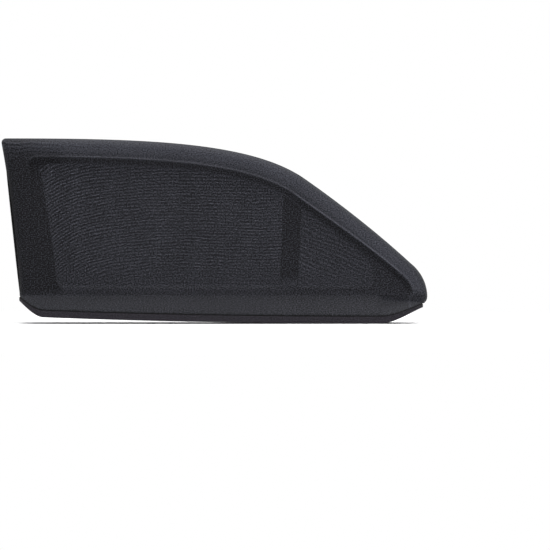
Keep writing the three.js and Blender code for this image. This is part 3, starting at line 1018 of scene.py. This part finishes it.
def edge_binding(sleeve: Sleeve) -> bpy.types.Object:
    """The bound seam along the front edge, the roof edge, the rear slope and the tip.

    Args:
        sleeve: The sleeve that it belongs to.

    Returns:
        The piece, linked to the scene.
    """
    s, outline = sleeve.size, sleeve.outline
    line = Chain(np.vstack([outline.front.points, outline.roof.points, outline.rear.points]))
    lead, reach = s.binding_depth / 2, 1.5 / line.length
    run = np.linspace(lead, line.length - lead, 1100) / line.length
    path = line.at(run)
    tangent = unit(line.at(np.clip(run + reach, 0, 1)) - line.at(np.clip(run - reach, 0, 1)))
    inward = np.stack([tangent[:, 1], -tangent[:, 0]], -1)
    corner = [
        (-s.binding_proud, 0.35),
        (-s.binding_proud + 0.3, 0.75),
        (-s.binding_proud + 0.9, 1.0),
        (0.0, 1.0),
        (0.5 * s.binding_depth, 1.0),
        (s.binding_depth - 0.4, 0.9),
        (s.binding_depth, 0.5),
    ]
    half = s.binding_thickness / 2
    section = np.array([(d, -half * w) for d, w in corner] + [(d, half * w) for d, w in corner[::-1]])
    deep, wide = section.T
    x = path[:, :1] + deep * inward[:, :1]
    z = path[:, 1:] + deep * inward[:, 1:]
    points = np.stack([x, wide + sleeve.barrel_shift(path[:, 1:]), z], -1)
    count = len(section)
    faces = [f for f in ring_faces(*points.shape[:2]) if max(f) - min(f) < 3 * count]
    last = (len(path) - 1) * count
    faces += [list(range(count)), list(range(last + count - 1, last - 1, -1))]
    return mesh_object("seam_tape", points, faces, warp=(run * line.length)[:, None], weft=deep)


def hem_stitches(sleeve: Sleeve) -> bpy.types.Object:
    """The row of straight stitches that holds the hem's fold, seen on both of its faces.

    Args:
        sleeve: The sleeve that it belongs to.

    Returns:
        All the stitches as one piece, linked to the scene.
    """
    s, loop = sleeve.size, sleeve.hem_loop()
    out_of_loop = s.cloth * 1.5 + s.gap - GROOVE_DEPTH + 0.1
    pitch, half_length, radius, sides = 4.2, 1.45, 0.26, 6
    ends, swell = np.array([-1.0, -0.7, 0.0, 0.7, 1.0]), np.array([0.25, 0.8, 1.0, 0.8, 0.25])
    turn = np.linspace(0.0, 2 * np.pi, sides, endpoint=False)[:, None]
    stitches = []
    for way in (1.0, -1.0):
        places = loop.places + way * out_of_loop * loop.outward
        route = [places[:, 0], places[:, 1], loop.rise + STITCH_HEIGHT * loop.height]
        for middle in np.arange(4.0, loop.along[-1] - 4.0, pitch):
            spots = middle + half_length * ends
            centre = np.stack([np.interp(spots, loop.along, row) for row in route], -1)
            run = unit(centre[-1] - centre[0])
            side_way = unit(np.cross(run, [0.0, 0.0, 1.0]))
            ring = radius * (np.cos(turn) * side_way + np.sin(turn) * np.cross(side_way, run))
            stitches.append(centre[:, None] + swell[:, None, None] * ring[None])
    tail = (len(ends) - 1) * sides
    one = []
    for a in range(tail):
        b = a + 1 if (a + 1) % sides else a + 1 - sides
        one.append([a, b, b + sides, a + sides])
    one += [list(range(sides))[::-1], list(range(tail, tail + sides))]
    size = sides * len(ends)
    faces = [[n * size + corner for corner in face] for n in range(len(stitches)) for face in one]
    return mesh_object("hem_stitching", np.array(stitches), faces)


def mesh_panel(sleeve: Sleeve, side: Side, zones: Zones) -> bpy.types.Object:
    """One stretched mesh panel with its tones and the run of its knit as attributes.

    Args:
        sleeve: The sleeve that it belongs to.
        side: The side that the panel is on.
        zones: The grid's distances and masks, from zones().

    Returns:
        The piece, linked to the scene.
    """
    points = sleeve.panel(side, zones)
    steps = np.linalg.norm(np.diff(points, axis=1), axis=2)
    weft = np.hstack([np.zeros((len(points), 1)), np.cumsum(steps, 1)])
    crease = sleeve.CREASE_ROW
    weft = weft - weft[:, crease, None] + points[:, crease, None, 2]
    faces = grid_faces(*points.shape[:2], flip=side.way > 0)
    values = sleeve.attributes(zones)
    return mesh_object(f"{side.name}_mesh", points, faces, warp=points[..., 0], weft=weft, **values)


class Graph:
    """Short ways to add nodes and links to one node tree."""

    def __init__(self, tree: bpy.types.NodeTree):
        """Keeps the tree to add to."""
        self.tree = tree

    def node(self, kind: str, **settings: object) -> bpy.types.Node:
        """Adds a node and sets its options.

        Args:
            kind: The node's type.
            settings: Its options by name.

        Returns:
            The node.
        """
        made = self.tree.nodes.new(kind)
        for key, value in settings.items():
            setattr(made, key, value)
        return made

    def put(self, socket: Socket, value: Value) -> None:
        """Sets an input socket to a number, or links another socket to it.

        Args:
            socket: The input.
            value: What it takes.
        """
        if isinstance(value, Socket):
            self.tree.links.new(value, socket)
        else:
            socket.default_value = value

    def math(self, operation: str, *values: Value) -> Socket:
        """Adds a maths node and returns its output.

        Args:
            operation: Which operation it does.
            values: Its inputs in order.

        Returns:
            The output socket.
        """
        made = self.node("ShaderNodeMath", operation=operation)
        for socket, value in zip(made.inputs, values):
            self.put(socket, value)
        return made.outputs[0]

    def times(self, *values: Value) -> Socket:
        """Multiplies all the values."""
        return reduce(partial(self.math, "MULTIPLY"), values)

    def plus(self, *values: Value) -> Socket:
        """Adds all the values."""
        return reduce(partial(self.math, "ADD"), values)

    def minus(self, value: Value, less: Value) -> Socket:
        """Takes the second value from the first."""
        return self.math("SUBTRACT", value, less)

    def attribute(self, name: str) -> Socket:
        """Reads one number that each point of the piece has."""
        return self.node("ShaderNodeAttribute", attribute_name=name).outputs["Fac"]

    def vector(self, x: Value, y: Value, z: Value) -> Socket:
        """Joins three numbers into a vector.

        Args:
            x: First number.
            y: Second number.
            z: Third number.

        Returns:
            The output socket.
        """
        made = self.node("ShaderNodeCombineXYZ")
        for socket, value in zip(made.inputs, (x, y, z)):
            self.put(socket, value)
        return made.outputs[0]

    def noise(self, vector: Socket, scale: float, detail: float = 2.0) -> Socket:
        """Adds a noise texture and returns its value.

        Args:
            vector: Place to read it at.
            scale: Scale of the noise.
            detail: Fineness of the noise.

        Returns:
            The output socket.
        """
        made = self.node("ShaderNodeTexNoise")
        self.put(made.inputs["Vector"], vector)
        self.put(made.inputs["Scale"], scale)
        self.put(made.inputs["Detail"], detail)
        return made.outputs["Fac"]

    def uneven(
        self, given: Sockets, across: float, along: float, seed: float, detail: float = 2.0
    ) -> Socket:
        """Noise over the cloth, with its own scale across the warp and along it.

        Args:
            given: The group's inputs, with Warp and Weft.
            across: Scale over the warp.
            along: Scale over the weft.
            seed: Third coordinate, which sets each noise apart.
            detail: Fineness of the noise.

        Returns:
            The noise, about 0.5 in the mean.
        """
        place = self.vector(self.times(given["Warp"], across), self.times(given["Weft"], along), seed)
        return self.noise(place, 1.0, detail)

    def span(self, value: Value, low: float, high: float, to_low: float, to_high: float) -> Socket:
        """Maps a value smoothly from one span to another.

        Args:
            value: Value to map.
            low: Where the first span starts.
            high: Where it ends.
            to_low: Result at low.
            to_high: Result at high.

        Returns:
            The output socket.
        """
        made = self.node("ShaderNodeMapRange", interpolation_type="SMOOTHSTEP")
        for socket, number in zip(made.inputs, (value, low, high, to_low, to_high)):
            self.put(socket, number)
        return made.outputs[0]

    def mix(self, share: Value, first: Socket, second: Socket) -> Socket:
        """Mixes two shaders, from the first at a share of 0 to the second at 1.

        Args:
            share: Share of the second.
            first: First shader.
            second: Second shader.

        Returns:
            The output socket.
        """
        made = self.node("ShaderNodeMixShader")
        for socket, value in zip(made.inputs, (share, first, second)):
            self.put(socket, value)
        return made.outputs[0]

    def group(self, tree: bpy.types.NodeTree, **inputs: Value) -> bpy.types.Node:
        """Adds a node group and sets its inputs.

        Args:
            tree: The node group.
            inputs: Its inputs by name.

        Returns:
            The group's node.
        """
        made = self.node("ShaderNodeGroup", node_tree=tree)
        for key, value in inputs.items():
            self.put(made.inputs[key], value)
        return made


def new_group(name: str, inputs: list, outputs: list) -> tuple:
    """Makes an empty shader node group.

    Args:
        name: The group's name.
        inputs: Names of its number inputs.
        outputs: Names of its number outputs.

    Returns:
        The tree, a graph on it, its input sockets by name and its output node.
    """
    tree = bpy.data.node_groups.new(name, "ShaderNodeTree")
    for key in inputs:
        tree.interface.new_socket(key, in_out="INPUT", socket_type="NodeSocketFloat")
    for key in outputs:
        tree.interface.new_socket(key, in_out="OUTPUT", socket_type="NodeSocketFloat")
    graph = Graph(tree)
    source = graph.node("NodeGroupInput")
    sink = graph.node("NodeGroupOutput")
    return tree, graph, source.outputs, sink


def knit_group() -> bpy.types.NodeTree:
    """Open knit: rows of small holes between loops of yarn, with an uneven hand.

    Returns:
        The node group.
    """
    tree, g, given, sink = new_group("open_knit", ["Warp", "Weft", "Pitch"], ["Height", "Shade"])
    turn = g.math("DIVIDE", 2 * np.pi, given["Pitch"])
    slow = g.noise(g.vector(given["Warp"], given["Weft"], 0.0), 0.045)
    wander = g.times(g.minus(slow, 0.5), 1.6)
    u = g.times(given["Warp"], turn)
    v = g.plus(g.times(given["Weft"], turn), wander)
    across = g.math("COSINE", g.times(g.plus(u, v), 0.5))
    back = g.math("COSINE", g.times(g.minus(u, v), 0.5))
    holes = g.math("ABSOLUTE", g.times(across, back))
    height = g.minus(1.0, g.math("POWER", holes, 1.6))
    g.put(sink.inputs["Height"], height)
    g.put(sink.inputs["Shade"], g.span(height, 0.0, 0.9, 0.62, 1.1))
    return tree


def grain_group() -> bpy.types.NodeTree:
    """Uneven light and dark loops of the yarn, a little longer along the knit's rows.

    Returns:
        The node group.
    """
    tree, g, given, sink = new_group("yarn_grain", ["Warp", "Weft", "Strength"], ["Shade"])
    loops = g.uneven(given, 0.33, 0.4, 4.0)
    spread = g.times(g.minus(loops, 0.5), g.times(given["Strength"], 4.0))
    g.put(sink.inputs["Shade"], g.math("MAXIMUM", g.plus(1.0, spread), 0.25))
    return tree


def streak_group() -> bpy.types.NodeTree:
    """Broken light and dark streaks where two layers of the knit lie over each other.

    Returns:
        The node group.
    """
    tree, g, given, sink = new_group("layer_streaks", ["Warp", "Weft", "Phase", "Strength"], ["Shade"])
    swing = g.times(g.minus(g.uneven(given, 0.016, 0.035, 3.1, 1.0), 0.5), 1.3)
    turns = g.times(g.plus(given["Phase"], swing), 2 * np.pi)
    lifted = g.plus(0.5, g.times(g.math("SINE", turns), 0.5))
    wave = g.minus(g.times(g.math("POWER", lifted, 2.2), 2.6), 0.85)
    broken = g.span(g.uneven(given, 0.11, 0.16, 7.7), 0.36, 0.6, 0.2, 1.5)
    grain = g.minus(g.uneven(given, 0.07, 0.3, 1.2), 0.5)
    shimmer = g.minus(g.uneven(given, 0.024, 0.003, 5.0, 1.0), 0.5)
    total = g.plus(g.times(wave, broken, 0.5), g.times(grain, 0.9), g.times(shimmer, 0.5))
    g.put(sink.inputs["Shade"], g.plus(1.0, g.times(total, given["Strength"])))
    return tree


def ribbed_group() -> bpy.types.NodeTree:
    """Close ribs across a tape or band, with small unevenness.

    Returns:
        The node group.
    """
    tree, g, given, sink = new_group("ribbed_tape", ["Warp", "Weft", "Pitch"], ["Height", "Shade"])
    turn = g.math("DIVIDE", 2 * np.pi, given["Pitch"])
    ribs = g.math("SINE", g.times(given["Warp"], turn))
    cross = g.math("SINE", g.times(given["Weft"], g.times(turn, 1.4)))
    fuzz = g.noise(g.vector(given["Warp"], given["Weft"], 2.0), 0.35, 3.0)
    height = g.plus(g.times(g.plus(ribs, g.times(cross, 0.5)), 0.35), fuzz)
    g.put(sink.inputs["Height"], height)
    g.put(sink.inputs["Shade"], g.span(height, -0.1, 1.1, 0.84, 1.12))
    return tree


@dataclass(frozen=True)
class MeshFinish:
    """Finish of the stretched charcoal knit."""

    colour: tuple = (0.0186, 0.0192, 0.0238)
    pitch: float = 3.2
    grain: float = 1.75
    roughness: float = 0.86
    sheen: float = 0.05
    sheen_roughness: float = 0.5
    bump: float = 0.35


@dataclass(frozen=True)
class TapeFinish:
    """Finish of a close woven tape, band or hem."""

    colour: tuple
    pitch: float
    roughness: float
    sheen: float
    bump: float
    grain: float = 0.7


@dataclass(frozen=True)
class ThreadFinish:
    """Finish of the sewing thread."""

    colour: tuple = (0.030, 0.028, 0.034)
    roughness: float = 0.7
    bump: float = 0.3


HEM_FINISH = TapeFinish((0.0222, 0.0204, 0.0255), 3.0, 0.9, 0.04, 0.3)
BINDING_FINISH = TapeFinish((0.034, 0.035, 0.041), 3.0, 0.85, 0.05, 0.4)
ELASTIC_FINISH = TapeFinish((0.018, 0.018, 0.020), 3.0, 0.7, 0.03, 0.4)


class Finishes:
    """Makes the procedural material of each surface."""

    def __init__(self):
        """Makes the groups that the materials share."""
        self.knit = knit_group()
        self.streaks = streak_group()
        self.grain = grain_group()
        self.ribbed = ribbed_group()

    @staticmethod
    def _start(surface: Surface) -> tuple:
        """Empty material with a Principled BSDF, and a graph on its tree.

        Args:
            surface: Which surface it is for.

        Returns:
            The material, a graph on its tree and its shader.
        """
        material = bpy.data.materials.new(surface.value)
        material.use_nodes = True
        tree = material.node_tree
        tree.nodes.clear()
        graph = Graph(tree)
        shader = graph.node("ShaderNodeBsdfPrincipled")
        output = graph.node("ShaderNodeOutputMaterial")
        tree.links.new(shader.outputs[0], output.inputs["Surface"])
        return material, graph, shader

    @staticmethod
    def _shaded(graph: Graph, colour: tuple, shade: Value) -> Socket:
        """The colour times a number.

        Args:
            graph: Graph to add to.
            colour: The colour.
            shade: The number.

        Returns:
            The output socket.
        """
        mix = graph.node("ShaderNodeVectorMath", operation="SCALE")
        mix.inputs[0].default_value = colour
        graph.put(mix.inputs["Scale"], shade)
        return mix.outputs[0]

    @staticmethod
    def _bump(graph: Graph, shader: bpy.types.Node, height: Socket, strength: float) -> None:
        """Small relief from a height in parts of 0.3 mm.

        Args:
            graph: Graph to add to.
            shader: Shader that takes the relief.
            height: The height.
            strength: Strength of the relief.
        """
        bump = graph.node("ShaderNodeBump")
        bump.inputs["Strength"].default_value = strength
        bump.inputs["Distance"].default_value = 0.0003
        graph.put(bump.inputs["Height"], height)
        graph.put(shader.inputs["Normal"], bump.outputs[0])

    def mesh(self) -> bpy.types.Material:
        """The stretched knit, with the streaks of its two layers over the two fields, and the painted
        highlights and painted shade that its tone attribute carries.

        Returns:
            The material.
        """
        finish = MeshFinish()
        material, g, shader = self._start(Surface.MESH)
        warp, weft = g.attribute("warp"), g.attribute("weft")
        knit = g.group(self.knit, Warp=warp, Weft=weft, Pitch=finish.pitch)
        streaks = g.group(
            self.streaks, Warp=warp, Weft=weft, Phase=g.attribute("phase"), Strength=g.attribute("streak")
        )
        cloud = g.noise(g.vector(warp, weft, 9.0), 0.011)
        clouded = g.span(cloud, 0.3, 0.7, 0.95, 1.05)
        strength = g.math("DIVIDE", finish.grain, g.math("POWER", g.attribute("tone"), 0.9))
        grain = g.group(self.grain, Warp=warp, Weft=weft, Strength=strength)
        shades = [node.outputs["Shade"] for node in (knit, streaks, grain)]
        # The tone attribute holds the zones' tones together with painted highlights and painted shade
        shade = g.times(*shades, clouded, g.attribute("tone"))
        g.put(shader.inputs["Base Color"], self._shaded(g, finish.colour, shade))
        shader.inputs["Roughness"].default_value = finish.roughness
        shader.inputs["Specular IOR Level"].default_value = CLOTH_SPECULAR
        shader.inputs["Sheen Weight"].default_value = finish.sheen
        shader.inputs["Sheen Roughness"].default_value = finish.sheen_roughness
        self._bump(g, shader, knit.outputs["Height"], finish.bump)
        return material

    def _tape(
        self, surface: Surface, finish: TapeFinish, tone: Callable | None = None
    ) -> bpy.types.Material:
        """A close woven surface.

        Args:
            surface: Which surface it is for.
            finish: Its finish.
            tone: Function from the graph to a further painted shade, or None.

        Returns:
            The material.
        """
        material, g, shader = self._start(surface)
        cloth = {"Warp": g.attribute("warp"), "Weft": g.attribute("weft")}
        ribs = g.group(self.ribbed, Pitch=finish.pitch, **cloth)
        grain = g.group(self.grain, Strength=finish.grain, **cloth)
        shade = g.times(ribs.outputs["Shade"], grain.outputs["Shade"])
        if tone is not None:
            shade = g.times(shade, tone(g))
        g.put(shader.inputs["Base Color"], self._shaded(g, finish.colour, shade))
        shader.inputs["Roughness"].default_value = finish.roughness
        shader.inputs["Specular IOR Level"].default_value = CLOTH_SPECULAR
        shader.inputs["Sheen Weight"].default_value = finish.sheen
        self._bump(g, shader, ribs.outputs["Height"], finish.bump)
        return material

    def hem(self) -> bpy.types.Material:
        """The folded hem, with painted shade in the stitched groove and at its upper edge.

        Returns:
            The material.
        """

        def tone(g: Graph) -> Socket:
            """Painted shade at each height of the hem, in the stitched groove and at its upper edge.

            Args:
                g: Graph to add to.

            Returns:
                The output socket.
            """
            height = g.attribute("height")
            from_stitches = g.math("ABSOLUTE", g.minus(height, STITCH_HEIGHT))
            # Painted shade in the stitched groove
            groove = g.span(from_stitches, 0.02, 0.06, 0.85, 1.0)
            # Painted shade along the hem's upper edge, where it meets the mesh
            return g.times(groove, g.span(height, 0.9, 0.95, 1.0, 0.06))

        return self._tape(Surface.HEM, HEM_FINISH, tone)

    def binding(self) -> bpy.types.Material:
        """The tape round the seam."""
        return self._tape(Surface.BINDING, BINDING_FINISH)

    def elastic(self) -> bpy.types.Material:
        """The flat elastic, ribbed across."""
        return self._tape(Surface.ELASTIC, ELASTIC_FINISH)

    def thread(self) -> bpy.types.Material:
        """Twisted sewing thread.

        Returns:
            The material.
        """
        finish = ThreadFinish()
        material, g, shader = self._start(Surface.THREAD)
        fuzz = g.noise(g.node("ShaderNodeTexCoord").outputs["Object"], 900.0)
        shade = g.span(fuzz, 0.3, 0.7, 0.75, 1.2)
        g.put(shader.inputs["Base Color"], self._shaded(g, finish.colour, shade))
        shader.inputs["Roughness"].default_value = finish.roughness
        self._bump(g, shader, fuzz, finish.bump)
        return material


@dataclass(frozen=True)
class AreaLight:
    """A square area light, in metres and watts."""

    name: str
    place: tuple
    target: tuple
    size: float
    power: float
    colour: tuple = (1.0, 1.0, 1.0)


LIGHTS = (
    AreaLight("top", (0.1, -0.25, 2.4), (0.1, 0.0, 0.2), 2.0, 120.0, (1.0, 0.99, 0.97)),
    AreaLight("front", (-0.4, -3.6, 1.3), (0.0, 0.0, 0.2), 2.4, 16.0),
    AreaLight("back", (0.4, 3.6, 0.7), (0.0, 0.0, 0.2), 2.4, 36.0),
)


class Studio:
    """Floor, soft lights and the camera at the photograph's angle."""

    FLOOR_HALF = 6.0
    FLOOR_DROP = 0.0012
    FLOOR_COLOUR = (0.86, 0.86, 0.87, 1.0)
    FLOOR_ROUGHNESS = 0.9
    # Distances from the middle over which the floor fades into the white background
    FLOOR_FADE = (0.55, 1.3)
    SKY_COLOUR = (0.94, 0.97, 1.0, 1.0)
    SKY_STRENGTH = 0.3
    WHITE = (1.0, 1.0, 1.0, 1.0)
    CAMERA_PLACE = (0.136, -3.2, 0.106)
    CAMERA_LENS = 93.7
    CAMERA_SENSOR = 36.0
    CAMERA_REACH = 50.0

    def floor(self) -> bpy.types.Object:
        """A plain pale floor just under the hem.

        Returns:
            The floor's object.
        """
        half = self.FLOOR_HALF
        corners = [(-half, -half, 0.0), (half, -half, 0.0), (half, half, 0.0), (-half, half, 0.0)]
        mesh = bpy.data.meshes.new("floor")
        mesh.from_pydata(corners, [], [(0, 1, 2, 3)])
        mesh.materials.append(self.floor_material())
        floor = bpy.data.objects.new("floor", mesh)
        floor.location.z = -self.FLOOR_DROP
        bpy.context.scene.collection.objects.link(floor)
        return floor

    def floor_material(self) -> bpy.types.Material:
        """Pale and matt, white far out, and clear from below.

        Returns:
            The material.
        """
        material = bpy.data.materials.new("floor")
        material.use_nodes = True
        g = Graph(material.node_tree)
        shader = material.node_tree.nodes["Principled BSDF"]
        output = material.node_tree.nodes["Material Output"]
        shader.inputs["Base Color"].default_value = self.FLOOR_COLOUR
        shader.inputs["Roughness"].default_value = self.FLOOR_ROUGHNESS
        far = g.node("ShaderNodeVectorMath", operation="LENGTH")
        g.put(far.inputs[0], g.node("ShaderNodeTexCoord").outputs["Object"])
        faded = g.span(far.outputs["Value"], *self.FLOOR_FADE, 0.0, 1.0)
        camera_ray = g.node("ShaderNodeLightPath").outputs["Is Camera Ray"]
        white = g.node("ShaderNodeEmission").outputs[0]
        seen = g.mix(g.times(camera_ray, faded), shader.outputs[0], white)
        from_below = g.node("ShaderNodeNewGeometry").outputs["Backfacing"]
        clear = g.node("ShaderNodeBsdfTransparent").outputs[0]
        g.put(output.inputs["Surface"], g.mix(from_below, seen, clear))
        return material

    def world(self) -> None:
        """Soft light from all round, seen as white."""
        world = bpy.data.worlds.new("studio")
        world.use_nodes = True
        bpy.context.scene.world = world
        world.node_tree.nodes.clear()
        g = Graph(world.node_tree)
        path = g.node("ShaderNodeLightPath")
        seen = g.math("MAXIMUM", path.outputs["Is Camera Ray"], path.outputs["Is Transmission Ray"])
        lit_and_seen = []
        for colour, strength in ((self.SKY_COLOUR, self.SKY_STRENGTH), (self.WHITE, 1.0)):
            background = g.node("ShaderNodeBackground")
            background.inputs["Color"].default_value = colour
            background.inputs["Strength"].default_value = strength
            lit_and_seen.append(background.outputs[0])
        g.put(g.node("ShaderNodeOutputWorld").inputs["Surface"], g.mix(seen, *lit_and_seen))

    def light(self, area: AreaLight) -> None:
        """Adds an area light that points at its target.

        Args:
            area: The light to add.
        """
        data = bpy.data.lights.new(area.name, "AREA")
        data.shape, data.size = "SQUARE", area.size
        data.energy, data.color = area.power, area.colour
        made = bpy.data.objects.new(area.name, data)
        made.location = area.place
        way = Vector(area.target) - Vector(area.place)
        made.rotation_euler = way.to_track_quat("-Z", "Y").to_euler()
        bpy.context.scene.collection.objects.link(made)

    def camera(self) -> None:
        """The camera, level and straight on, as the photograph was taken."""
        data = bpy.data.cameras.new("camera")
        data.lens, data.sensor_width = self.CAMERA_LENS, self.CAMERA_SENSOR
        data.clip_end = self.CAMERA_REACH
        camera = bpy.data.objects.new("camera", data)
        camera.location = self.CAMERA_PLACE
        camera.rotation_euler = (np.pi / 2, 0.0, 0.0)
        bpy.context.scene.collection.objects.link(camera)
        bpy.context.scene.camera = camera

    def build(self) -> None:
        """Makes the whole studio."""
        self.floor()
        self.world()
        for area in LIGHTS:
            self.light(area)
        self.camera()
        bpy.context.scene.view_settings.view_transform = "Standard"


def main() -> None:
    """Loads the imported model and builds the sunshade's looks."""
    logging.basicConfig(level=logging.INFO)
    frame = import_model()
    log.info("The frame's nodes: %s", ", ".join(sorted(frame["nodes"])))
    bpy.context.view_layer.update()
    size = SleeveSize()
    sleeve = Sleeve(size, fineness=8)
    zones = sleeve.zones()
    cabin, street = mesh_panel(sleeve, CABIN, zones), mesh_panel(sleeve, STREET, zones)
    casing, elastic = hem_casing(sleeve), hem_elastic(sleeve)
    binding, stitches = edge_binding(sleeve), hem_stitches(sleeve)
    finishes = Finishes()
    mesh_material, hem_material = finishes.mesh(), finishes.hem()
    plan = [
        (cabin, "cabin_mesh_panel", mesh_material),
        (street, "street_mesh_panel", mesh_material),
        (casing, "hem_casing", hem_material),
        (elastic, "hem_elastic", finishes.elastic()),
        (binding, "edge_seam_binding", finishes.binding()),
    ]
    for piece, node, material in plan:
        piece.data.materials.append(material)
        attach(piece, "root")
        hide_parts(node)
        log.info("%s: %d faces, stands for %s", piece.name, len(piece.data.polygons), node)
    stitches.data.materials.append(finishes.thread())
    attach(stitches, "root")
    log.info("%s: %d faces, in the looks only", stitches.name, len(stitches.data.polygons))
    Studio().build()


if __name__ == "__main__":
    main()
